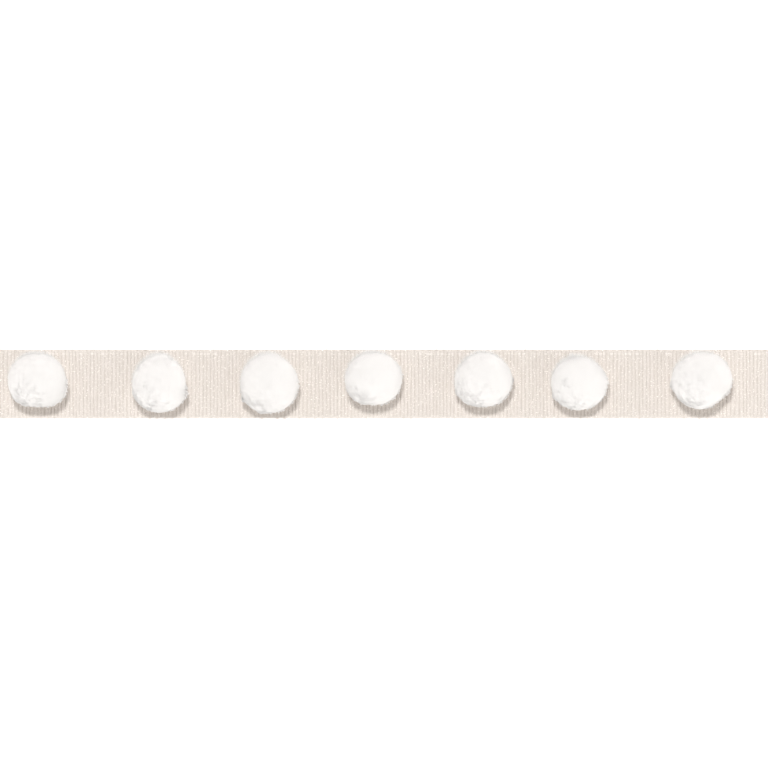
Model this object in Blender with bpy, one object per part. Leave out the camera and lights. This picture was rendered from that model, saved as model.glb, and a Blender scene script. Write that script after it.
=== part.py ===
"""Pompom trim: a straight length of ribbed tape with seven cut-pile pompoms sewn along its face.

The tape lies flat on the ground plane. X runs along it, Y across it and Z is up.
The origin is under the middle of the tape, on the plane that the tape lies on.
"""
from collections import namedtuple

import bmesh
import bpy
import numpy as np

MM = 0.001

# The tape, in millimetres.
TAPE_LENGTH = 300.0
TAPE_WIDTH = 25.4
TAPE_THICKNESS = 1.0
SELVEDGE_ROUND = 0.35
SELVEDGE_STEPS = 3

# Every pompom's foot hovers this far over the tape, so that the two stay separate bodies.
SEAM_GAP = 0.3

# The ball of pile: where its widest section lies, as a share of its height,
# and the latitude, in degrees under that section, at which the sewn foot cuts it flat.
WAIST_SHARE = 0.45
FOOT_LATITUDE = 53.0
AROUND = 32
FOOT_RINGS = 4
DOME_RINGS = 7

# The pompoms, in millimetres: the centre along and across the tape, the height over the
# foot, and how far the pile reaches from the centre in eight directions seen from above.
Pompom = namedtuple(
    "Pompom",
    "name along across height"
    " east north_east north north_west west south_west south south_east",
)
POMPOMS = [
    Pompom("pompom_1", -127.9, 1.8, 19.0, 10.6, 10.3, 10.3, 10.9, 11.3, 11.5, 10.2, 11.8),
    Pompom("pompom_2", -82.8, 0.7, 19.0, 9.7, 9.9, 11.3, 10.4, 10.5, 11.2, 11.3, 11.2),
    Pompom("pompom_3", -42.5, 0.7, 19.5, 11.1, 10.5, 11.4, 11.0, 10.9, 11.5, 11.6, 11.4),
    Pompom("pompom_4", -3.9, 2.4, 18.5, 10.8, 10.2, 10.2, 10.3, 10.9, 11.1, 10.1, 10.7),
    Pompom("pompom_5", 36.8, 2.0, 18.5, 10.8, 10.1, 10.5, 10.5, 11.1, 11.4, 10.5, 10.7),
    Pompom("pompom_6", 72.1, 1.1, 18.5, 10.6, 9.4, 9.7, 10.3, 10.7, 11.1, 10.7, 10.8),
    Pompom("pompom_7", 117.2, 1.4, 20.0, 11.6, 11.4, 11.0, 11.1, 11.5, 10.9, 10.7, 10.1),
]

TAPE_CREAM = (0.80, 0.71, 0.63, 1.0)
PILE_WHITE = (0.90, 0.88, 0.85, 1.0)


def clear_scene():
    """Remove whatever the scene holds."""
    for old in list(bpy.data.objects):
        bpy.data.objects.remove(old, do_unlink=True)


def cloth_material(name, colour, roughness):
    """A matt cloth finish of one colour."""
    material = bpy.data.materials.new(name)
    material.use_nodes = True
    shader = material.node_tree.nodes["Principled BSDF"]
    shader.inputs["Base Color"].default_value = colour
    shader.inputs["Roughness"].default_value = roughness
    shader.inputs["Metallic"].default_value = 0.0
    return material


def add_object(name, shape, material, place):
    """Turn a bmesh, in millimetres, into a named object at a place given in millimetres."""
    bmesh.ops.scale(shape, vec=(MM, MM, MM), verts=shape.verts)
    bmesh.ops.recalc_face_normals(shape, faces=shape.faces)
    mesh = bpy.data.meshes.new(name)
    shape.to_mesh(mesh)
    shape.free()
    mesh.shade_smooth()
    mesh.set_sharp_from_angle(angle=np.radians(50.0))
    mesh.materials.append(material)
    piece = bpy.data.objects.new(name, mesh)
    piece.location = [value * MM for value in place]
    bpy.context.scene.collection.objects.link(piece)
    return piece


def make_tape(material):
    """The flat strip, cut square at both ends, its two long edges rounded as selvedges."""
    shape = bmesh.new()
    bmesh.ops.create_cube(shape, size=1.0)
    bmesh.ops.scale(shape, vec=(TAPE_LENGTH, TAPE_WIDTH, TAPE_THICKNESS), verts=shape.verts)
    long_edges = [edge for edge in shape.edges if edge.calc_length() > TAPE_LENGTH / 2]
    bmesh.ops.bevel(
        shape,
        geom=long_edges,
        offset=SELVEDGE_ROUND,
        segments=SELVEDGE_STEPS,
        profile=0.5,
        affect="EDGES",
    )
    return add_object("tape", shape, material, (0.0, 0.0, TAPE_THICKNESS / 2))


def pile_reach(pompom, angles):
    """How far the pile reaches at each angle: one stated reach eases into the next.

    Each direction weighs by the squared cosine of its distance, which is whole at the
    direction itself and nothing at its two neighbours.
    """
    reaches = np.array(pompom[-8:])
    step = 2 * np.pi / len(reaches)
    headings = step * np.arange(len(reaches))
    apart = np.angle(np.exp(1j * (angles[:, None] - headings[None, :])))
    weights = np.where(np.abs(apart) < step, np.cos(apart / step * np.pi / 2) ** 2, 0.0)
    return weights @ reaches


def ball_sections(height):
    """The ball's level sections from foot to crown: each one's width share and height."""
    waist = WAIST_SHARE * height
    under = np.radians(np.linspace(-FOOT_LATITUDE, 0.0, FOOT_RINGS, endpoint=False))
    over = np.radians(np.linspace(0.0, 90.0, DOME_RINGS, endpoint=False))
    under_heights = waist + waist * np.sin(under) / np.sin(np.radians(FOOT_LATITUDE))
    over_heights = waist + (height - waist) * np.sin(over)
    shares = np.concatenate([np.cos(under), np.cos(over)])
    heights = np.concatenate([under_heights, over_heights])
    return list(zip(shares, heights))


def make_pompom(pompom, material):
    """One dense ball of cut pile: uneven round from above, domed on top, flat at its foot."""
    shape = bmesh.new()
    angles = 2 * np.pi * np.arange(AROUND) / AROUND
    reach = pile_reach(pompom, angles)
    rings = []
    for share, level in ball_sections(pompom.height):
        across = share * reach
        ring = [
            shape.verts.new((x, y, level))
            for x, y in zip(across * np.cos(angles), across * np.sin(angles))
        ]
        rings.append(ring)
    shape.faces.new(rings[0])
    for lower, upper in zip(rings[:-1], rings[1:]):
        for turn in range(AROUND):
            following = (turn + 1) % AROUND
            shape.faces.new((lower[turn], lower[following], upper[following], upper[turn]))
    crown = shape.verts.new((0.0, 0.0, pompom.height))
    for turn in range(AROUND):
        shape.faces.new((rings[-1][turn], rings[-1][(turn + 1) % AROUND], crown))
    place = (pompom.along, pompom.across, TAPE_THICKNESS + SEAM_GAP)
    return add_object(pompom.name, shape, material, place)


def main():
    """Lay the tape down and set the pompoms along it."""
    clear_scene()
    make_tape(cloth_material("tape_cream", TAPE_CREAM, 0.85))
    pile = cloth_material("pile_white", PILE_WHITE, 0.95)
    for pompom in POMPOMS:
        make_pompom(pompom, pile)


main()
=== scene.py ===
# %% [markdown]
# # A pompom trim, dressed
# The solids of this trim are plain: a flat strip and seven smooth balls. This lesson puts the
# real surfaces round them: a tape with woven ribs, the weft threads that turn at its edges,
# and balls of cut pile made of thousands of small tufts. The trim's sizes are in metres,
# written as a number of millimetres times MM.

# %% Load the solids as a fixed frame
import math
from collections import namedtuple

import bpy
import numpy as np
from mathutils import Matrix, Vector


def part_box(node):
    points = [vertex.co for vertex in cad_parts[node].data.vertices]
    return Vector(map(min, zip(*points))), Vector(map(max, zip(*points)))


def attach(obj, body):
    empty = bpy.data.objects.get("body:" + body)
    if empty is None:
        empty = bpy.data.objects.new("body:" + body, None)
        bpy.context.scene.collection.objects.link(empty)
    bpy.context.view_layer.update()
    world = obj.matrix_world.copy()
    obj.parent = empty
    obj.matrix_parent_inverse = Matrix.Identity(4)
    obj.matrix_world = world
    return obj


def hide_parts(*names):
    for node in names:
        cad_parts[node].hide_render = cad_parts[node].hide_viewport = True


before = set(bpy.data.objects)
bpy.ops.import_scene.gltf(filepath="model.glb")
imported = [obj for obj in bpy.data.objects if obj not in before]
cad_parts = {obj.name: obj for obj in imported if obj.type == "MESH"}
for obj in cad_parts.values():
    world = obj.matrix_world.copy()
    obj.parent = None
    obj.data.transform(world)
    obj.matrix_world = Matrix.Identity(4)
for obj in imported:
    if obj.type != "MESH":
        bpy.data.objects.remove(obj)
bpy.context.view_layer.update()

MM = 0.001

# %% [markdown]
# ## The sizes that everything follows
# A maker starts with the tape: how wide it is, how thick, and how many ribs there are. The
# strip's own box gives the first two, so the looks always fit the solid. The rib's pitch is
# the one size that the solid doesn't hold.

# %% Read the tape's size and count its ribs
tape_low, tape_high = (np.array(corner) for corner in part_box("tape"))
tape_length = tape_high[0] - tape_low[0]
tape_width = tape_high[1] - tape_low[1]
tape_top = tape_high[2]
RIB_PITCH = 1.37 * MM
rib_count = round(tape_length / RIB_PITCH)
pompom_nodes = sorted(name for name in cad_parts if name.startswith("pompom_"))
print(f"tape {tape_length / MM:.0f} x {tape_width / MM:.1f} mm with {rib_count} ribs,",
      f"{len(pompom_nodes)} pompoms")

# %% [markdown]
# ## From arrays to a mesh
# Each surface here is worked out as whole arrays of points. One helper turns such an array,
# with the corner numbers of its faces, into a Blender object. `foreach_set` hands over a whole
# array at once, which is hundreds of times faster than adding vertices one by one.

# %% Helpers that turn arrays into objects
def object_from_arrays(name, points, faces, material):
    """One smooth mesh object. points is n by 3, and each row of faces is one face's corners."""
    corners = np.concatenate([block.ravel() for block in faces]).astype(np.int32)
    sizes = np.concatenate([np.full(len(block), block.shape[1]) for block in faces])
    starts = np.concatenate([[0], np.cumsum(sizes)[:-1]]).astype(np.int32)
    mesh = bpy.data.meshes.new(name)
    mesh.vertices.add(len(points))
    mesh.vertices.foreach_set("co", points.astype(np.float32).ravel())
    mesh.loops.add(len(corners))
    mesh.loops.foreach_set("vertex_index", corners)
    mesh.polygons.add(len(sizes))
    mesh.polygons.foreach_set("loop_start", starts)
    mesh.polygons.foreach_set("use_smooth", np.full(len(sizes), True))
    mesh.update(calc_edges=True)
    mesh.materials.append(material)
    piece = bpy.data.objects.new(name, mesh)
    bpy.context.scene.collection.objects.link(piece)
    triangles = int((sizes - 2).sum())
    print(f"{name}: {triangles} triangles")
    return piece


def point_values(piece, name, values):
    """Keep one number at each point of a piece, for its material to read."""
    attribute = piece.data.attributes.new(name, "FLOAT", "POINT")
    attribute.data.foreach_set("value", values.astype(np.float32))


def face_along(piece, normals):
    """Shade each point as if its surface faced the given way, or its own way where that is 0."""
    piece.data.normals_split_custom_set_from_vertices(normals.astype(np.float32))


def unit(vectors):
    """Vectors divided by their own lengths."""
    return vectors / np.linalg.norm(vectors, axis=-1, keepdims=True)


UPWARD = np.array([0.0, 0.0, 1.0])


# %% [markdown]
# ## Materials
# Both cloths are matt, and nearly white. What makes them read as cloth is small: the colour
# drifts a little along the ribs, fine specks show where warp threads pass over and under, and
# the pile is paler at its cut tips than at its roots, whose deeper colour is painted shade.
# The tape is painted deeper between its ribs, as shade, and has a few painted glints. All of
# it comes from Blender's noise nodes on Object coordinates, or from values kept on the mesh,
# so nothing slides when a camera moves.

# %% A cloth's material and its simplest nodes
def new_material(name, roughness, sheen):
    """A cloth's material, with its node tree and its shader."""
    material = bpy.data.materials.new(name)
    material.use_nodes = True
    tree = material.node_tree
    shader = tree.nodes["Principled BSDF"]
    shader.inputs["Roughness"].default_value = roughness
    shader.inputs["Specular IOR Level"].default_value = 0.2
    shader.inputs["Sheen Weight"].default_value = sheen
    shader.inputs["Sheen Roughness"].default_value = 0.5
    return material, tree, shader


def math_node(tree, operation, first, second=None):
    """A Math node. Each value is a number or another node's output."""
    node = tree.nodes.new("ShaderNodeMath")
    node.operation = operation
    for socket, value in zip(node.inputs, (first, second)):
        if isinstance(value, bpy.types.NodeSocket):
            tree.links.new(value, socket)
        elif value is not None:
            socket.default_value = value
    return node.outputs["Value"]


def kept_value(tree, name):
    """The value of that name which the mesh keeps at its points."""
    node = tree.nodes.new("ShaderNodeAttribute")
    node.attribute_name = name
    return node.outputs["Fac"]


# %% [markdown]
# A noise node's pattern is as wide as its grain, which is given here for each axis, so one
# noise can be long along a rib and narrow across it. A Mix node has its own sockets for each
# kind of value, and those for colours are picked out by their numbers.

# %% Noise, mixed colours and bump
COLOUR_INPUTS = (6, 7)
COLOUR_OUTPUT = 2


def noise_node(tree, grain, detail=2.0):
    """Smooth noise on Object coordinates, with its grain along X, Y and Z in metres."""
    place = tree.nodes.new("ShaderNodeTexCoord")
    mapping = tree.nodes.new("ShaderNodeMapping")
    mapping.inputs["Scale"].default_value = [1.0 / size for size in grain]
    noise = tree.nodes.new("ShaderNodeTexNoise")
    noise.inputs["Scale"].default_value = 1.0
    noise.inputs["Detail"].default_value = detail
    tree.links.new(place.outputs["Object"], mapping.inputs["Vector"])
    tree.links.new(mapping.outputs["Vector"], noise.inputs["Vector"])
    return noise.outputs["Fac"]


def mix_colours(tree, share, first, second):
    """A colour between two, by a share from 0 to 1. Each colour is a value or an output."""
    mix = tree.nodes.new("ShaderNodeMix")
    mix.data_type = "RGBA"
    tree.links.new(share, mix.inputs["Factor"])
    for number, colour in zip(COLOUR_INPUTS, (first, second)):
        socket = mix.inputs[number]
        if isinstance(colour, bpy.types.NodeSocket):
            tree.links.new(colour, socket)
        else:
            socket.default_value = (*colour, 1.0)
    return mix.outputs[COLOUR_OUTPUT]


def add_bump(tree, shader, height, strength, distance):
    """Shade as if the surface rose by a height times a distance in metres."""
    bump = tree.nodes.new("ShaderNodeBump")
    bump.inputs["Strength"].default_value = strength
    bump.inputs["Distance"].default_value = distance
    tree.links.new(height, bump.inputs["Height"])
    tree.links.new(bump.outputs["Normal"], shader.inputs["Normal"])


# %% [markdown]
# The tape is woven warp-faced: many thin warp threads run along it, close together, and pass
# over thick weft cords that lie across it. Each cord shows as a rib. The threads are nearly
# white where they ride over a cord, and are painted deeper where they dive between two, which
# is painted shade. Here and there a painted glint stands for a thread that catches the light.
# So the colour follows how high on its rib a point is, which the mesh keeps as a value, and
# four noises: long streaks along a rib, specks about as wide as one thread, a few bright dots,
# which are the painted glints, and a slow drift between two creams. A spread stretches each
# noise, which otherwise stays near its middle value, so that the specks really reach pale and
# deep. The weights say how much of the way from deep to pale each thing takes.

# %% The ribbed tape's material
TAPE_PALE = (0.788, 0.735, 0.689)
# TAPE_DEEP is painted shade between ribs and along the far edge, and also the deep end of the
# streaks and specks.
TAPE_DEEP = (0.570, 0.514, 0.459)
TAPE_ROSE = (0.788, 0.723, 0.682)
# TAPE_BRIGHT is the colour of the painted glints.
TAPE_BRIGHT = (0.938, 0.880, 0.822)
STREAK_GRAIN = (0.80 * MM, 6.00 * MM, 9.00 * MM)
SPECK_GRAIN = (0.32 * MM, 0.60 * MM, 0.50 * MM)
DOT_GRAIN = (0.45 * MM, 0.40 * MM, 0.50 * MM)
DRIFT_GRAIN = (12.0 * MM, 8.0 * MM, 9.0 * MM)
WARP_GRAIN = (0.25 * MM, 0.07 * MM, 0.10 * MM)
DOT_MIDDLE = 0.72
RIB_WEIGHT = 0.32
STREAK_WEIGHT = 0.20
SPECK_WEIGHT = 0.20
WARP_WEIGHT = 0.8


def spread(tree, value, gain, middle=0.5):
    """A value pushed away from a middle by a gain, set round 0.5 and kept from 0 to 1."""
    away = math_node(tree, "MULTIPLY", math_node(tree, "SUBTRACT", value, middle), gain)
    held = math_node(tree, "ADD", away, 0.5)
    held.node.use_clamp = True
    return held


def ribbed_tape_material():
    """Cream warp-faced weave: deep between ribs, streaky along them, and finely specked."""
    material, tree, shader = new_material("ribbed_tape", 0.85, 0.10)
    streaks = spread(tree, noise_node(tree, STREAK_GRAIN), gain=2.5)
    specks = spread(tree, noise_node(tree, SPECK_GRAIN, detail=1.0), gain=4.0)
    dots = spread(tree, noise_node(tree, DOT_GRAIN, detail=0.0), gain=12.0, middle=DOT_MIDDLE)
    drift = spread(tree, noise_node(tree, DRIFT_GRAIN), gain=2.0)
    # The rib value brings painted shade low on each rib and along the far edge.
    blend = math_node(tree, "MULTIPLY", kept_value(tree, "on_rib"), RIB_WEIGHT)
    blend = math_node(tree, "ADD", blend, math_node(tree, "MULTIPLY", streaks, STREAK_WEIGHT))
    blend = math_node(tree, "ADD", blend, math_node(tree, "MULTIPLY", specks, SPECK_WEIGHT))
    pale = mix_colours(tree, drift, TAPE_PALE, TAPE_ROSE)
    colour = mix_colours(tree, blend, TAPE_DEEP, pale)
    colour = mix_colours(tree, dots, colour, TAPE_BRIGHT)
    tree.links.new(colour, shader.inputs["Base Color"])
    fibres = math_node(tree, "MULTIPLY", noise_node(tree, WARP_GRAIN), WARP_WEIGHT)
    height = math_node(tree, "ADD", specks, fibres)
    add_bump(tree, shader, height, strength=0.6, distance=0.05 * MM)
    return material


tape_material = ribbed_tape_material()
print(f"{tape_material.name}: {len(tape_material.node_tree.nodes)} nodes")

# %% [markdown]
# The pile is white, a touch warm where light has bounced among the fibres. Its roots are
# painted deeper than its tips, as the shade down among the fibres. Each tuft keeps two values:
# how far along it a point is, from root to cut tip, and its tone, which varies at random and
# has painted shade on the soft side.

# %% The pile's material
# PILE_ROOT is painted shade deep in the pile; PILE_TIP is the white of the cut tips.
PILE_ROOT = (0.714, 0.681, 0.661)
PILE_TIP = (0.795, 0.777, 0.755)
PILE_GRAIN = (0.12 * MM, 0.12 * MM, 0.12 * MM)


def pile_material():
    """White cut pile: roots painted deeper than tips as shade, and a tone for each tuft."""
    material, tree, shader = new_material("pile", 0.95, 0.0)
    # Roots, the soft side and each tuft's random tone pull towards the painted shade of PILE_ROOT.
    share = math_node(tree, "MULTIPLY", kept_value(tree, "toward_tip"),
                      kept_value(tree, "tone_and_painted_shade"))
    colour = mix_colours(tree, share, PILE_ROOT, PILE_TIP)
    tree.links.new(colour, shader.inputs["Base Color"])
    add_bump(tree, shader, noise_node(tree, PILE_GRAIN), strength=0.15, distance=0.04 * MM)
    return material


pile_finish = pile_material()
print(f"{pile_finish.name}: {len(pile_finish.node_tree.nodes)} nodes")

# %% [markdown]
# ## The tape
# The tape could be a flat strip with a bump for its ribs, but the ribs catch the light at
# every angle and show at the edges, so they are real here. The surface is a section, a long
# flat loop round the tape's thickness, carried along its length. Where the section crosses a
# rib it swells, and between two ribs it pinches in. Woven cords are never quite even, so each
# rib has its own width and height, and wanders a little sideways as it crosses the tape.

# %% Where the ribs are
random = np.random.default_rng(seed=7)
RIB_UNEVEN = 0.08
RIB_DROP = 0.25
RIB_COLUMNS = np.array([0.0, 0.12, 0.34, 0.66, 0.88])


def bell(count, lowest, highest):
    """Random numbers from a bell curve of mean 0 and spread 1, cut off at two limits."""
    return random.standard_normal(count).clip(lowest, highest)


rib_widths = 1.0 + RIB_UNEVEN * bell(rib_count, -2.0, 2.0)
rib_starts = np.concatenate([[0.0], np.cumsum(rib_widths)]) / rib_widths.sum()
rib_starts = tape_low[0] + rib_starts * tape_length
rib_heights = 1.0 - RIB_DROP * random.random(rib_count)
print(f"rib pitch {np.diff(rib_starts).mean() / MM:.3f} mm,",
      f"from {np.diff(rib_starts).min() / MM:.2f} to {np.diff(rib_starts).max() / MM:.2f}")

# %% [markdown]
# Across the upper face there is a row of points for each warp thread. On one rib the odd
# threads are a little higher, and on the next rib the even ones, which is how a plain weave
# alternates. The two selvedges are woven tighter, so the ribs are flatter there, and just
# inside each selvedge a row of small knots shows where the last warp threads lock the weft.

# %% The section round the tape
EDGE_INSET = 0.10 * MM
EDGE_STEPS = 4
THREADS = 50
UNDER_STEPS = 13

half_width = tape_width / 2 - EDGE_INSET
round_edge = tape_top / 2


def tape_section():
    """A loop round the tape: places across it, and heights from -1 to 1.

    The two faces are level at 1 and -1. Each edge is a half circle, whose cosine adds to the
    place across and whose sine is the height.
    """
    inner = half_width - round_edge
    face = np.linspace(-inner, inner, THREADS)
    under = np.linspace(inner, -inner, UNDER_STEPS)
    turn = np.linspace(np.pi / 2, -np.pi / 2, EDGE_STEPS + 2)[1:-1]
    right = inner + round_edge * np.cos(turn)
    across = np.concatenate([face, right, under, -right])
    level = np.concatenate([np.ones(THREADS), np.sin(turn),
                            -np.ones(UNDER_STEPS), -np.sin(turn)])
    return across, level


print(f"the section has {len(tape_section()[0])} points")

# %% How the ribs wander, and how the threads lift
Wave = namedtuple("Wave", "along across start")
WAVES = [
    Wave(31.0 * MM, 52.0 * MM, 0.4),
    Wave(13.0 * MM, 37.0 * MM, 1.7),
    Wave(7.3 * MM, 19.0 * MM, 4.1),
]
WAVE_HEIGHT = 0.05 * MM
LEAST_LIFT = 0.2
KNOT_THREADS = (4, THREADS - 3)


def wander(along, across):
    """How far a rib strays sideways: three slow sine waves along and across the tape."""
    turns = [along / wave.along + across / wave.across for wave in WAVES]
    return sum(WAVE_HEIGHT * np.sin(2 * np.pi * turn + wave.start)
               for turn, wave in zip(turns, WAVES))


def thread_lift(rib, crown):
    """How each thread stands on each rib, from -1 to 1, and how far its knot does, 0 to 1.

    Odd and even threads take turns on a rib, the next rib swaps them, and each crossing has
    its own strength. Knots lie along two threads only, as high as chance says on each rib.
    """
    thread = np.arange(THREADS)
    turn = np.where((thread[None, :] + rib[:, None]) % 2 == 0, 1.0, -1.0)
    strength = random.uniform(LEAST_LIFT, 1.0, (rib_count + 1, THREADS))
    lift = turn * strength[rib] * crown[:, None]
    knots = np.zeros(lift.shape)
    chance = random.random((rib_count + 1, len(KNOT_THREADS))) ** 2
    knots[:, KNOT_THREADS] = chance[rib] * crown[:, None]
    return lift, knots


# %% [markdown]
# Each point also keeps how pale it is, from 0, which is deep, to about 1, and its material
# reads that. Deep is painted shade: low on a rib, on the lower thread of each crossing, and
# along the far selvedge's outermost threads, while those of the near selvedge are painted
# paler, as lit. The near row of knots is faint, and the far one shows as a row of pale specks.

# %% How pale each point is
EDGE_LINE = 0.45 * MM
# The higher thread of each crossing is painted paler, and the lower one deeper as shade, by this
# share.
LIFT_PALE = 0.12
KNOT_PALES = (0.6, 4.0)
# The far edge is painted in shade, and the near edge painted paler, as lit.
FAR_EDGE_PALE = -0.3
NEAR_EDGE_PALE = 1.2


def paleness(crown, across, lift, knots):
    """How pale each point of the tape is: by its rib, its thread, its knot and its edge.

    Lower points are painted deeper, as shade. The outermost threads of the far selvedge are
    painted in the ribs' shade, and those of the near one are painted paler, clear of it.
    """
    pale = np.repeat(crown[:, None], len(across), axis=1)
    pale[:, :THREADS] += LIFT_PALE * lift
    pale[:, KNOT_THREADS] += KNOT_PALES * knots[:, KNOT_THREADS]
    pale[:, across > half_width - EDGE_LINE] = FAR_EDGE_PALE
    pale[:, across < EDGE_LINE - half_width] = NEAR_EDGE_PALE
    return pale


# %% [markdown]
# The section is laid at a few columns on every rib, closer together where the rib falls away
# to its neighbour. All walls then come from one array of point numbers: each face joins a
# point, the next one round the section, and the same two at the next column.

# %% Carry the section along the tape
RIB_RELIEF = 0.30 * MM
FLOAT_RELIEF = 0.03 * MM
KNOT_RELIEF = 0.10 * MM
SELVEDGE = 1.1 * MM
SELVEDGE_EASE = 0.6 * MM
SELVEDGE_FLAT = 0.55
EDGE_SWELL = 0.08 * MM


def make_tape():
    """The ribbed sheet: at each column the section's height is that of its rib's round top.

    A rib's top is half an ellipse along the tape. Its relief eases to a lower share at the
    selvedges, and each rib also swells a little out of both edges.
    """
    across, level = tape_section()
    share = np.append(np.tile(RIB_COLUMNS, rib_count), 0.0)
    rib = np.append(np.repeat(np.arange(rib_count), len(RIB_COLUMNS)), rib_count)
    starts = np.append(rib_starts, rib_starts[-1])
    along = starts[rib] + share * np.diff(starts)[rib]
    crown = np.sqrt(1.0 - (2.0 * share - 1.0) ** 2) * np.append(rib_heights, 0.0)[rib]
    lift, knots = thread_lift(rib, crown)

    from_edge = half_width - np.abs(across)
    eased = np.clip(0.5 + (SELVEDGE - from_edge) / SELVEDGE_EASE, 0.0, 1.0)
    fade = 1.0 - SELVEDGE_FLAT * eased
    half_thickness = tape_top / 2 - RIB_RELIEF * (1.0 - crown[:, None]) * fade
    z = tape_top / 2 + half_thickness * level
    z[:, :THREADS] += FLOAT_RELIEF * lift + KNOT_RELIEF * knots
    x = along[:, None] + wander(along[:, None], across[None, :])
    x[0] = tape_low[0]
    x[-1] = tape_high[0]
    y = across + EDGE_SWELL * crown[:, None] * np.sign(across) * (np.abs(level) < 1.0)
    points = np.stack([x, y, z], axis=-1)

    columns, loop = x.shape
    number = np.arange(columns * loop).reshape(columns, loop)
    here, there = number[:-1], number[1:]
    walls = np.stack([here, np.roll(here, -1, 1), np.roll(there, -1, 1), there], -1)
    cut_ends = [number[:1], number[-1:, ::-1]]
    faces = [walls.reshape(-1, 4)[:, ::-1], *cut_ends]
    piece = object_from_arrays("ribbed_tape", points.reshape(-1, 3), faces, tape_material)
    point_values(piece, "on_rib", paleness(crown, across, lift, knots).ravel())
    return piece


ribbed_tape = make_tape()
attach(ribbed_tape, "root")
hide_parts("tape")

# %% [markdown]
# ## The weft at the edges
# A weft cord runs across the tape, turns round the last warp thread, and runs back as the next
# rib. Each turn shows as a tiny loop on the edge, one to every two ribs, and the two edges
# take turns. Tight weaving hides most of them. A loop is a thin tube along half an ellipse.

# %% Tubes along many paths at once
def tubes_along(paths, radius, sides, upright):
    """Closed tubes round many paths at once. paths is tubes by steps by 3.

    Each ring is a circle square to the path, spanned by the direction across both the path
    and the upright, and by the one across that and the path. Two flat lids close each tube.
    """
    tangent = unit(np.gradient(paths, axis=1))
    beside = unit(np.cross(tangent, upright))
    over = np.cross(beside, tangent)
    turn = 2 * np.pi * np.arange(sides) / sides
    ring = (np.cos(turn)[:, None] * beside[:, :, None] + np.sin(turn)[:, None] * over[:, :, None])
    points = paths[:, :, None] + radius * ring
    tubes, steps = paths.shape[:2]
    number = np.arange(tubes * steps * sides).reshape(tubes, steps, sides)
    here, there = number[:, :-1], number[:, 1:]
    walls = np.stack([here, np.roll(here, -1, 2), np.roll(there, -1, 2), there], -1)
    lids = np.concatenate([number[:, 0, :], number[:, -1, ::-1]])
    return points.reshape(-1, 3), [walls.reshape(-1, 4)[:, ::-1], lids]


# %% The turns of the weft
TURN_THICK = 0.15 * MM
TURN_REACH = 0.26 * MM
TURN_REACH_SHARES = (0.7, 1.15)
TURN_TUCK = 0.20 * MM
TURN_HEIGHT_SHARES = (0.55, 0.80)
TURN_STEPS = 6
TURN_SIDES = 5


def make_turns():
    """Half ellipses from the middle of one rib to the middle of the next, out over the edge."""
    middles = (rib_starts[:-1] + rib_starts[1:]) / 2
    sweep = np.linspace(0.0, np.pi, TURN_STEPS)
    edge = half_width - TURN_TUCK
    paths, pales = [], []
    # The far turns are painted in the far edge's shade, and the near ones painted paler, as lit.
    for side, first, pale in ((-1.0, 0, NEAR_EDGE_PALE), (1.0, 1, FAR_EDGE_PALE)):
        pairs = np.arange(first, rib_count - 1, 2)
        centre = (middles[pairs] + middles[pairs + 1]) / 2
        reach = (middles[pairs + 1] - middles[pairs]) / 2
        x = centre[:, None] - reach[:, None] * np.cos(sweep)
        out = TURN_REACH * random.uniform(*TURN_REACH_SHARES, len(pairs))
        y = side * (edge + out[:, None] * np.sin(sweep))
        z = tape_top * random.uniform(*TURN_HEIGHT_SHARES, len(pairs))
        paths.append(np.stack([x, y, np.broadcast_to(z[:, None], x.shape)], -1))
        pales.append(np.full(len(pairs) * TURN_STEPS * TURN_SIDES, pale))
    points, faces = tubes_along(np.concatenate(paths), TURN_THICK, TURN_SIDES, UPWARD)
    piece = object_from_arrays("weft_turns", points, faces, tape_material)
    point_values(piece, "on_rib", np.concatenate(pales))
    return piece


weft_turns = make_turns()
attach(weft_turns, "root")

# %% [markdown]
# ## The pompoms
# A pompom is a bundle of yarn, tied tight round its middle and cut. Every cut end springs open
# into a brush of fibres, and shears trim the lot to a ball. It could be grown as hair, but
# hair isn't part of the mesh. Here the pile is made of small three-sided tufts instead, and
# some twelve thousand of them hide a plain core. Neighbouring tufts lean towards the middle
# of their own cut end, which gives the surface its soft clumps.
#
# The ball's own form is read from its solid, so the looks follow the solid if that changes.
# Shears never trim quite evenly: a few locks, listed here, stand out of the ball. A lock's
# heading and spread are in degrees, and its reach from the ball's middle in millimetres.

# %% The locks that stand out
Lock = namedtuple("Lock", "pompom heading reach spread")
LOCKS = [
    Lock("pompom_1", 340.0, 11.7, 12.0),
    Lock("pompom_2", 335.0, 11.3, 6.0),
    Lock("pompom_3", 215.0, 12.3, 4.0),
    Lock("pompom_3", 255.0, 12.1, 4.0),
    Lock("pompom_4", 20.0, 10.9, 8.0),
    Lock("pompom_5", 208.0, 12.0, 6.0),
    Lock("pompom_5", 357.0, 11.5, 3.0),
    Lock("pompom_6", 212.0, 11.8, 5.0),
    Lock("pompom_6", 106.0, 10.6, 8.0),
    Lock("pompom_7", 190.0, 12.2, 6.0),
    Lock("pompom_7", 337.0, 11.3, 6.0),
]
print(len(LOCKS), "locks stand out")

# %% [markdown]
# No pompom is the same all round. On its soft side, the outermost pile has come loose: the
# dense pile stops short there, a haze of single fibres fills what is left, and the pile is
# painted a little deeper, as shade. On a second side, handling has ruffled it, and loose ends
# of yarn lie across the pile. On a third, the shears have missed a few tufts, which stand out
# where the ball is widest. Each side is a bell curve over the ball: 1 in its middle, falling
# away with the angle from it. Its heading, height and width are in degrees.

# %% The soft side, the ruffled side and the ragged side
Side = namedtuple("Side", "heading height width")
SOFT = Side(heading=108.0, height=-5.0, width=78.0)
RUFFLED = Side(heading=238.0, height=22.0, width=42.0)
RAGGED = Side(heading=325.0, height=0.0, width=36.0)
SOFT_DEPTH = 0.9 * MM
# How far the soft side is painted deeper, as shade, as a share.
SOFT_PAINTED_SHADE = 0.9


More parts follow.
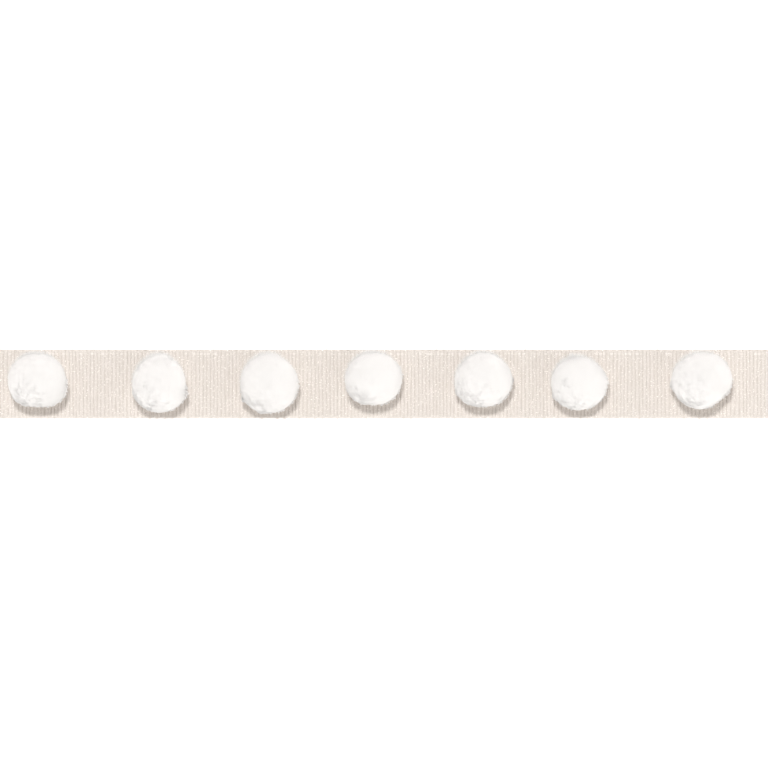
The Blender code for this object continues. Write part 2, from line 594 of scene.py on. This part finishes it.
def nearness(rays, side):
    """How far each ray belongs to a side.

    It is e to the power of the cosine of the angle between them, less 1, over 1 less the
    cosine of the side's width.
    """
    heading, height, width = (math.radians(value) for value in side)
    middle = np.array([math.cos(height) * math.cos(heading),
                       math.cos(height) * math.sin(heading), math.sin(height)])
    return np.exp((rays @ middle - 1.0) / (1.0 - math.cos(width)))


# %% Directions spread evenly over a ball
GOLDEN_ANGLE = math.pi * (3.0 - math.sqrt(5.0))


def even_directions(count):
    """Even places on a ball: heights in equal steps, each a golden angle round from the last."""
    step = np.arange(count) + 0.5
    height = 1.0 - 2.0 * step / count
    level = np.sqrt(1.0 - height ** 2)
    turn = step * GOLDEN_ANGLE
    return np.stack([level * np.cos(turn), level * np.sin(turn), height], -1)


for side_name, side in (("soft", SOFT), ("ruffled", RUFFLED), ("ragged", RAGGED)):
    share = nearness(even_directions(count=1000), side).mean()
    print(f"the {side_name} side takes {share:.2f} of the ball")

# %% Read each ball from its solid
WAIST_SHARE = 0.45
SOFTNESS = 70.0
CORNER_DECIMALS = 7


class Ball:
    """The solid that a pompom fills: its middle, its foot, and its reach in any direction."""

    def __init__(self, node):
        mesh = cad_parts[node].data
        spots = np.empty(len(mesh.vertices) * 3, np.float32)
        mesh.vertices.foreach_get("co", spots)
        # The solid's triangles don't share corners, so equal corners are merged.
        spots = np.unique(spots.reshape(-1, 3).astype(float).round(CORNER_DECIMALS), axis=0)
        crown = spots[spots[:, 2].argmax()]
        self.foot = spots[:, 2].min()
        waist = self.foot + WAIST_SHARE * (crown[2] - self.foot)
        self.middle = np.array([crown[0], crown[1], waist])
        rays = spots - self.middle
        self.reaches = np.linalg.norm(rays, axis=1)
        self.rays = rays / self.reaches[:, None]
        self.locks = [lock for lock in LOCKS if lock.pompom == node]

    def smooth_reach(self, directions):
        """The mean reach of the solid's corners, each weighed by how near its direction is."""
        near = np.exp(SOFTNESS * (directions @ self.rays.T - 1.0))
        return near @ self.reaches / near.sum(1)

    def reach(self, directions):
        """The smooth reach, raised round each lock by a bell curve of the angle from it."""
        reach = self.smooth_reach(directions)
        for lock in self.locks:
            heading = math.radians(lock.heading)
            middle = np.array([[math.cos(heading), math.sin(heading), 0.0]])
            rise = lock.reach * MM - self.smooth_reach(middle)
            steepness = 1.0 / math.radians(lock.spread) ** 2
            reach = reach + rise * np.exp(steepness * (directions @ middle[0] - 1.0))
        return reach

    def dense_reach(self, directions, locks=True):
        """How far the dense pile reaches: short of the full reach on the soft side."""
        full = self.reach(directions) if locks else self.smooth_reach(directions)
        return full - SOFT_DEPTH * nearness(directions, SOFT)


balls = {name: Ball(name) for name in pompom_nodes}
for name, ball in balls.items():
    print(name, "middle", (ball.middle / MM).round(1), "mm, mean reach",
          round(ball.reaches.mean() / MM, 1), "mm")

# %% [markdown]
# The core is a ball of latitudes and longitudes, a little smaller than the pile. It is out of
# sight, but it stops light from being lost between the tufts.

# %% The core under the pile
CORE_SHARE = 0.978
CORE_ROUND = 60
CORE_LEVELS = 28


def core_arrays(ball):
    """Points and faces of the core: each direction's reach times a share, flat at the foot."""
    polar = np.linspace(0.0, np.pi, CORE_LEVELS + 2)[1:-1]
    around = 2 * np.pi * np.arange(CORE_ROUND) / CORE_ROUND
    rays = np.stack([np.sin(polar)[:, None] * np.cos(around),
                     np.sin(polar)[:, None] * np.sin(around),
                     np.broadcast_to(np.cos(polar)[:, None], (CORE_LEVELS, CORE_ROUND))], -1)
    rays = np.concatenate([rays.reshape(-1, 3), [[0, 0, 1.0]], [[0, 0, -1.0]]])
    points = ball.middle + rays * (CORE_SHARE * ball.dense_reach(rays, locks=False))[:, None]
    points[:, 2] = np.maximum(points[:, 2], ball.foot)
    number = np.arange(CORE_LEVELS * CORE_ROUND).reshape(CORE_LEVELS, CORE_ROUND)
    upper, lower = number[:-1], number[1:]
    walls = np.stack([upper, lower, np.roll(lower, -1, 1), np.roll(upper, -1, 1)], -1)
    top, bottom = CORE_LEVELS * CORE_ROUND, CORE_LEVELS * CORE_ROUND + 1
    first, last = number[0], number[-1]
    lids = np.concatenate([
        np.stack([np.full(CORE_ROUND, top), first, np.roll(first, -1)], -1),
        np.stack([np.full(CORE_ROUND, bottom), np.roll(last, -1), last], -1),
    ])
    return points, walls.reshape(-1, 4), lids


# %% [markdown]
# A tuft is a spindle with few faces: a root point inside the core, a shoulder ring of three
# points near its top, and a blunt tip, which is what shows from outside. Blunt tips close
# together reflect light as a soft ball does, while sharp ones would swallow it. All tufts of a
# pompom are worked out together: arrays hold every root, every shoulder and every tip. A slow
# sideways lean, which changes over the ball, combs the tufts into the swirls that cut yarn has.
#
# Flat faces would glint each in its own way, as on a cut gem, but pile is lit as a whole: light
# wanders among its fibres and evens out. So each tuft is shaded as if it faced the way the
# ball does there, and a little upwards too, because light that enters the side of the pile
# leaves it in all directions. On the ruffled side each cut end also faces a little its own
# way, which shows as fine crinkles.

# %% Sizes of the tufts, and a smooth unevenness
# How many there are, and how far out each starts and must at least reach, as shares.
TUFTS = 13000
CUT_ENDS = 1600
ROOT_SHARE = 0.90
LEAST_SHARE = 0.984
# The shoulder's radius, and how far along the tuft it lies.
TUFT_THICK = 0.37 * MM
TUFT_SHOULDER = 0.955
# Where the pile ends at the foot.
FOOT_LATITUDE = math.radians(-53.0)
FOOT_MARGIN = 0.06
FOOT_CLEAR = 0.1 * MM
# How a cut end's tufts lean together, vary in height, fall off and turn from its middle.
CLUMP_PULL = 0.12
CLUMP_HEIGHT = 0.06 * MM
CLUMP_FALL = 0.06 * MM
CLUMP_EDGE = 0.95
CLUMP_DOME = 0.5
END_TILT = 0.10
# How far lengths, directions, cut ends and tips stray by chance.
STRAY = 0.035 * MM
RAY_STRAY = 0.005
END_STRAY = 0.06
TIP_STRAY = 0.003
# The slow swirl and swell over the ball, and how rough it is off and on the ruffled side.
SWIRL = 0.02 * MM
SWELL = 0.03 * MM
CALM = 0.12
RUFFLE_GAIN = 0.34
# The deepest shade of a tuft's own, and how much its shading is turned upwards.
LEAST_SHADE = 0.92
GLOW_LIFT = 0.25
# The few tufts of the ragged side that stand out, near the ball's waist.
PROUD_SHARE = 0.07
PROUD_REACH = 0.70 * MM
LEAST_PROUD = 0.3
WAIST_BAND = 0.22


def swell(rays, waves=14, coarse=5.0, fine=11.0):
    """A smooth unevenness on a ball: sine waves in random directions, added up.

    The sum is divided by the root of half their number, which makes its spread 1.
    """
    facing = even_directions(waves)
    rate = random.uniform(coarse, fine, waves)
    phase = random.uniform(0.0, 2 * np.pi, waves)
    return np.sin(rays @ facing.T * rate + phase).sum(1) / math.sqrt(waves / 2)


# %% Where every tuft runs
def centre_lines(ball):
    """Root, shoulder and tip of every tuft, and its tone, with painted shade on the soft side.

    Each tuft belongs to the nearest cut end. Its tip is drawn part of the way towards the
    middle of that end and stands lower the further off it is, so the ends read as clumps.
    All unevenness grows towards the ruffled side, where each end also faces a little its own
    way. A few tufts of the ragged side stand out. Each tuft faces the way the ball does,
    turned away from its end's middle and upwards. Those that stand out are lit from their own
    sides, so they face no given way.
    """
    rays = even_directions(TUFTS)
    rays = unit(rays + RAY_STRAY * random.standard_normal(rays.shape))
    rays = rays[rays[:, 2] > math.sin(FOOT_LATITUDE) - FOOT_MARGIN]
    ends = unit(even_directions(CUT_ENDS) + END_STRAY * random.standard_normal((CUT_ENDS, 3)))
    nearest = (rays @ ends.T).argmax(1)
    end = ends[nearest]
    apart = np.linalg.norm(rays - end, axis=1)
    off_middle = apart / np.quantile(apart, CLUMP_EDGE)
    tall = CLUMP_HEIGHT * bell(CUT_ENDS, -1.5, 2.2)
    uneven = tall[nearest] - CLUMP_FALL * off_middle ** 2
    uneven += STRAY * bell(len(rays), -2.0, 2.5)
    ruffle = nearness(rays, RUFFLED)
    rough = CALM + RUFFLE_GAIN * ruffle
    length = ball.dense_reach(rays) + uneven * rough + SWELL * swell(rays)
    plain = ball.dense_reach(rays, locks=False)
    proud_share = PROUD_SHARE * nearness(rays, RAGGED) * (np.abs(rays[:, 2]) < WAIST_BAND)
    stands_out = random.random(len(rays)) < proud_share
    length += stands_out * PROUD_REACH * random.uniform(LEAST_PROUD, 1.0, len(rays))
    length = np.maximum(length, LEAST_SHARE * plain)
    comb = np.stack([swell(rays, coarse=3.0, fine=7.0) for _ in range(3)], -1)
    comb -= (comb * rays).sum(1, keepdims=True) * rays
    pull = CLUMP_PULL * rough[:, None].clip(0.0, 1.0)
    tip_rays = unit(rays + pull * (end - rays) + TIP_STRAY * random.standard_normal(rays.shape))
    root = ball.middle + rays * (ROOT_SHARE * plain)[:, None]
    tip = ball.middle + tip_rays * length[:, None] + SWIRL * comb
    shoulder = root + TUFT_SHOULDER * (tip - root)
    for line in (root, shoulder, tip):
        lowest = ball.foot + FOOT_CLEAR * random.random(len(rays))
        line[:, 2] = np.maximum(line[:, 2], lowest)
    shade = random.uniform(LEAST_SHADE, 1.0, len(rays))
    # The soft side's tufts are painted deeper, as shade.
    shade *= 1.0 - SOFT_PAINTED_SHADE * nearness(rays, SOFT)
    tilt = END_TILT * random.standard_normal((CUT_ENDS, 3))[nearest]
    tilt += CLUMP_DOME * (rays - end)
    facing = unit(rays + ruffle[:, None] * tilt + GLOW_LIFT * UPWARD)
    facing[stands_out] = 0.0
    return root, shoulder, tip, shade, facing


# %% A tuft's own points and faces
TUFT_POINTS = 5


def rings_of_three(axis):
    """Three unit steps at equal turns round each axis, starting anywhere."""
    beside = unit(np.cross(axis, unit(random.standard_normal(axis.shape))))
    over = np.cross(axis, beside)
    turn = 2 * np.pi * np.arange(3) / 3
    return np.cos(turn)[:, None] * beside[:, None] + np.sin(turn)[:, None] * over[:, None]


def tuft_arrays(root, shoulder, tip):
    """Points and faces of all tufts: a root point, a shoulder ring of three, and a tip."""
    ring = TUFT_THICK * rings_of_three(unit(tip - root))
    points = np.concatenate([root[:, None], shoulder[:, None] + ring, tip[:, None]], 1)
    base = TUFT_POINTS * np.arange(len(root))[:, None]
    lower = [base + [0, 1 + (k + 1) % 3, 1 + k] for k in range(3)]
    upper = [base + [1 + k, 1 + (k + 1) % 3, 4] for k in range(3)]
    return points.reshape(-1, 3), np.concatenate(lower + upper)


# %% [markdown]
# Finer than the tufts are single loose fibres, thin spikes that stand off the ball and make
# its outline soft, most of all on the soft side. Where they stand is left to chance: many
# directions are tried, and each is kept as often as a function of it says.

# %% The loose fibres
# How many, how many directions are tried for each, and how far over the foot they start.
FIBRES = 6000
FIBRE_TRIES = 6
FIBRE_FOOT = 0.10
FIBRE_SHARE = 0.15
# A fibre's radius, how deep it starts, how far it leans, and how far it stands off the pile.
FIBRE_THICK = 0.028 * MM
FIBRE_ROOT = 0.5 * MM
FIBRE_LEAN = 0.35 * MM
FIBRE_PROUD = 0.13 * MM
SOFT_PROUD = 0.40 * MM
FIBRE_LENGTHS = (0.2, 3.0)
FIBRE_LIFT = 1.0
FIBRE_POINTS = 4


def chosen_directions(count, tries, over_foot, chance):
    """Random directions over the foot. chance gives the share of them to keep at each."""
    rays = unit(random.standard_normal((tries * count, 3)))
    rays = rays[rays[:, 2] > math.sin(FOOT_LATITUDE) + over_foot]
    kept = random.random(len(rays)) < chance(rays)
    return rays[kept][:count]


def fibre_chance(rays):
    """Few fibres everywhere, and all that are tried in the middle of the soft side."""
    return FIBRE_SHARE + (1.0 - FIBRE_SHARE) * nearness(rays, SOFT)


def fibre_arrays(ball):
    """Points, faces and facing of the loose fibres: thin three-sided spikes leaning any way."""
    rays = chosen_directions(FIBRES, FIBRE_TRIES, FIBRE_FOOT, fibre_chance)
    reach = ball.reach(rays)[:, None]
    root = ball.middle + rays * (ball.dense_reach(rays)[:, None] - FIBRE_ROOT)
    proud = FIBRE_PROUD + SOFT_PROUD * nearness(rays, SOFT)[:, None]
    proud = proud * random.exponential(1.0, proud.shape).clip(*FIBRE_LENGTHS)
    lean = FIBRE_LEAN * random.standard_normal(rays.shape)
    tip = ball.middle + rays * (reach + proud) + lean
    tip[:, 2] = np.maximum(tip[:, 2], ball.foot + FOOT_CLEAR)
    ring = FIBRE_THICK * rings_of_three(unit(tip - root))
    points = np.concatenate([root[:, None] + ring, tip[:, None]], 1)
    base = FIBRE_POINTS * np.arange(len(root))[:, None]
    faces = np.concatenate([base + [k, (k + 1) % 3, 3] for k in range(3)] + [base + [2, 1, 0]])
    facing = np.repeat(unit(rays + FIBRE_LIFT * UPWARD), FIBRE_POINTS, 0)
    return points.reshape(-1, 3), faces, facing


# %% [markdown]
# Longer are the loose ends of yarn on the ruffled side: fine bent tubes that lie across the
# pile, with both tips tucked into it.

# %% The loose ends of yarn
STRANDS = 60
STRAND_TRIES = 40
STRAND_FOOT = 0.15
# Half its length as a share of the ball's reach, its bend, and its height in thicknesses.
STRAND_HALVES = (0.06, 0.15)
STRAND_BEND = 0.5
STRAND_RISES = (0.2, 0.9)
# Its radius in the middle, how much it tapers, and how round its shading is.
STRAND_THICK = 0.10 * MM
STRAND_TAPER = 0.85
STRAND_ROUND = 0.35
STRAND_STEPS = 7
STRAND_SIDES = 4


def strand_chance(rays):
    """Most loose ends lie near the middle of the ruffled side."""
    return nearness(rays, RUFFLED) ** 2


def strand_arrays(ball):
    """Points, faces and facing of the loose ends of yarn.

    Each one runs over the ball through a point of its own, on a parabola in the two
    directions along the surface. Its height over the pile is a parabola too, which tucks
    both tips in, and it tapers towards them. It faces the way the ball does, turned partly
    towards its own round surface.
    """
    middle = chosen_directions(STRANDS, STRAND_TRIES, STRAND_FOOT, strand_chance)
    ahead = unit(np.cross(middle, random.standard_normal(middle.shape)))
    aside = np.cross(middle, ahead)
    step = np.linspace(-1.0, 1.0, STRAND_STEPS)[:, None]
    each = (len(middle), 1, 1)
    half = random.uniform(*STRAND_HALVES, each)
    bend = STRAND_BEND * random.standard_normal(each)
    rays = middle[:, None] + half * (step * ahead[:, None] + bend * step ** 2 * aside[:, None])
    rays = unit(rays)
    reach = ball.reach(rays.reshape(-1, 3)).reshape(rays.shape[:2] + (1,))
    rise = random.uniform(*STRAND_RISES, each) * STRAND_THICK * (1.0 - 2.0 * step ** 2)
    paths = ball.middle + rays * (reach + rise)
    radius = STRAND_THICK * np.sqrt(1.0 - STRAND_TAPER * step[:, :, None] ** 2)
    points, faces = tubes_along(paths, radius, STRAND_SIDES, rays)
    path_points = np.repeat(paths.reshape(-1, 3), STRAND_SIDES, 0)
    own_facing = unit(points - path_points)
    facing = unit(path_points - ball.middle) + GLOW_LIFT * UPWARD + STRAND_ROUND * own_facing
    return points, faces, unit(facing)


# %% [markdown]
# All parts of a pompom go into one mesh. Two values are kept at its points: how far towards
# its tuft's tip a point is, and its tuft's tone, with painted shade on the soft side. The core
# and the shoulders lie a little under the tips, so they are painted a little deeper, as shade.

# %% Join each pompom's parts
# The core and shoulders are painted part of the way towards the roots' shade.
CORE_TOWARD_TIP = 0.8
TUFT_TOWARD_TIP = (0.0, 0.8, 0.8, 0.8, 1.0)


def make_pompom(node):
    """One pompom: core, tufts, loose fibres and loose ends of yarn, joined as one mesh."""
    ball = balls[node]
    core, core_walls, core_lids = core_arrays(ball)
    root, shoulder, tip, shade, facing = centre_lines(ball)
    tufts, tuft_faces = tuft_arrays(root, shoulder, tip)
    fibres, spikes, fibre_facing = fibre_arrays(ball)
    strands, strand_faces, strand_facing = strand_arrays(ball)
    points = np.concatenate([core, tufts, fibres, strands])
    after_core = len(core)
    after_tufts = after_core + len(tufts)
    after_fibres = after_tufts + len(fibres)
    faces = [core_walls, core_lids, tuft_faces + after_core, spikes + after_tufts,
             *(block + after_fibres for block in strand_faces)]
    piece = object_from_arrays(node + "_pile", points, faces, pile_finish)
    toward_tip = np.ones(len(points))
    toward_tip[:after_core] = CORE_TOWARD_TIP
    toward_tip[after_core:after_tufts] = np.tile(TUFT_TOWARD_TIP, len(root))
    tone_and_painted_shade = np.ones(len(points))
    tone_and_painted_shade[after_core:after_tufts] = np.repeat(shade, TUFT_POINTS)
    point_values(piece, "toward_tip", toward_tip)
    point_values(piece, "tone_and_painted_shade", tone_and_painted_shade)
    normals = np.zeros(points.shape)
    normals[:after_core] = unit(unit(core - ball.middle) + GLOW_LIFT * UPWARD)
    normals[after_core:after_tufts] = np.repeat(facing, TUFT_POINTS, 0)
    normals[after_tufts:after_fibres] = fibre_facing
    normals[after_fibres:] = strand_facing
    face_along(piece, normals)
    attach(piece, "root")
    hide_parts(node)
    return piece


pompoms = [make_pompom(node) for node in pompom_nodes]

# %% [markdown]
# ## The tape's flat size
# The tape was cut as a flat strip, so its flat size is its own width and length.

print(f"flat sheet {tape_width / MM:.1f} x {tape_length / MM:.0f} mm,",
      f"with {len(pompoms)} pompoms on it")

# %% [markdown]
# ## Floor, light and camera
# The floor is a wide pale plane that glows a little, like a light table, so that it stays
# nearly white where the trim shades it. One lamp, high above the tape's far side, gives the
# short dark shadow on the near side of each pompom. Two wide weak lamps, one low in front and
# one to the front right, and a pale room that is brightest near the horizon, keep it soft.

# %% The floor
FLOOR_HALF = 12.0
FLOOR_DROP = 0.02 * MM
FLOOR_WHITE = (0.9, 0.9, 0.9, 1.0)
GLOW_WHITE = (1.0, 1.0, 1.0, 1.0)
FLOOR_GLOW = 0.35


def make_floor():
    """A flat pale square under the tape."""
    material = bpy.data.materials.new("pale_floor")
    material.use_nodes = True
    shader = material.node_tree.nodes["Principled BSDF"]
    shader.inputs["Base Color"].default_value = FLOOR_WHITE
    shader.inputs["Roughness"].default_value = 0.9
    shader.inputs["Specular IOR Level"].default_value = 0.0
    shader.inputs["Emission Color"].default_value = GLOW_WHITE
    shader.inputs["Emission Strength"].default_value = FLOOR_GLOW
    corners = FLOOR_HALF * np.array([[-1, -1, 0], [1, -1, 0], [1, 1, 0], [-1, 1, 0.0]])
    corners[:, 2] = -FLOOR_DROP
    floor = object_from_arrays("floor", corners, [np.array([[0, 1, 2, 3]])], material)


make_floor()

# %% [markdown]
# A lamp's width, tilt and heading are in degrees. Sun lamps shine evenly over the whole trim,
# and their width says how soft the shadows' edges are.

# %% The light
Lamp = namedtuple("Lamp", "name strength width tilt heading colour")
LAMPS = [
    Lamp("key", 1.94, 7.0, 17.0, 101.0, (0.985, 1.0, 1.015)),
    Lamp("near", 0.42, 40.0, 70.0, -90.0, (1.0, 1.0, 1.0)),
    Lamp("near_right", 0.24, 40.0, 50.0, -45.0, (1.0, 1.0, 1.0)),
]
ROOM_STRENGTH = 2.08
ROOM_COLOUR = (1.012, 1.0, 0.988)


def make_lamp(lamp):
    """A sun lamp: its tilt is from straight overhead, and its heading is where it shines from."""
    data = bpy.data.lights.new(lamp.name, "SUN")
    data.energy = lamp.strength
    data.angle = math.radians(lamp.width)
    data.color = lamp.colour
    light = bpy.data.objects.new(lamp.name, data)
    tilt, heading = math.radians(lamp.tilt), math.radians(lamp.heading)
    source = Vector((math.sin(tilt) * math.cos(heading), math.sin(tilt) * math.sin(heading),
                     math.cos(tilt)))
    light.rotation_euler = source.to_track_quat("Z", "Y").to_euler()
    bpy.context.scene.collection.objects.link(light)
    print(f"lamp {lamp.name}: strength {lamp.strength}, {lamp.tilt:.0f} degrees from overhead")


def make_room():
    """A room lit from low down: its strength falls from full at the horizon to nil overhead."""
    room = bpy.data.worlds.new("room")
    room.use_nodes = True
    tree = room.node_tree
    background = tree.nodes["Background"]
    direction = tree.nodes.new("ShaderNodeTexCoord")
    parts = tree.nodes.new("ShaderNodeSeparateXYZ")
    tree.links.new(direction.outputs["Generated"], parts.inputs["Vector"])
    height = math_node(tree, "ABSOLUTE", parts.outputs["Z"])
    strength = math_node(tree, "MULTIPLY", math_node(tree, "SUBTRACT", 1.0, height), ROOM_STRENGTH)
    tree.links.new(strength, background.inputs["Strength"])
    background.inputs["Color"].default_value = (*ROOM_COLOUR, 1.0)
    bpy.context.scene.world = room


for lamp in LAMPS:
    make_lamp(lamp)
make_room()
bpy.context.scene.view_settings.view_transform = "Standard"

# %% [markdown]
# The camera looks straight down through a long lens from far off, so that pompoms near the
# ends don't lean outwards.

# %% The camera
LENS = 800.0
SENSOR = 36.0
VIEW_WIDTH = 283.9 * MM


def make_camera():
    """Straight above: the height is the view's width times the lens over the sensor."""
    data = bpy.data.cameras.new("camera")
    data.lens = LENS
    data.sensor_width = SENSOR
    data.clip_end = 100.0
    camera = bpy.data.objects.new("camera", data)
    camera.location = (0.0, 0.0, tape_top + VIEW_WIDTH * LENS / SENSOR)
    bpy.context.scene.collection.objects.link(camera)
    bpy.context.scene.camera = camera
    print(f"camera {camera.location.z:.2f} m above the tape")


make_camera()
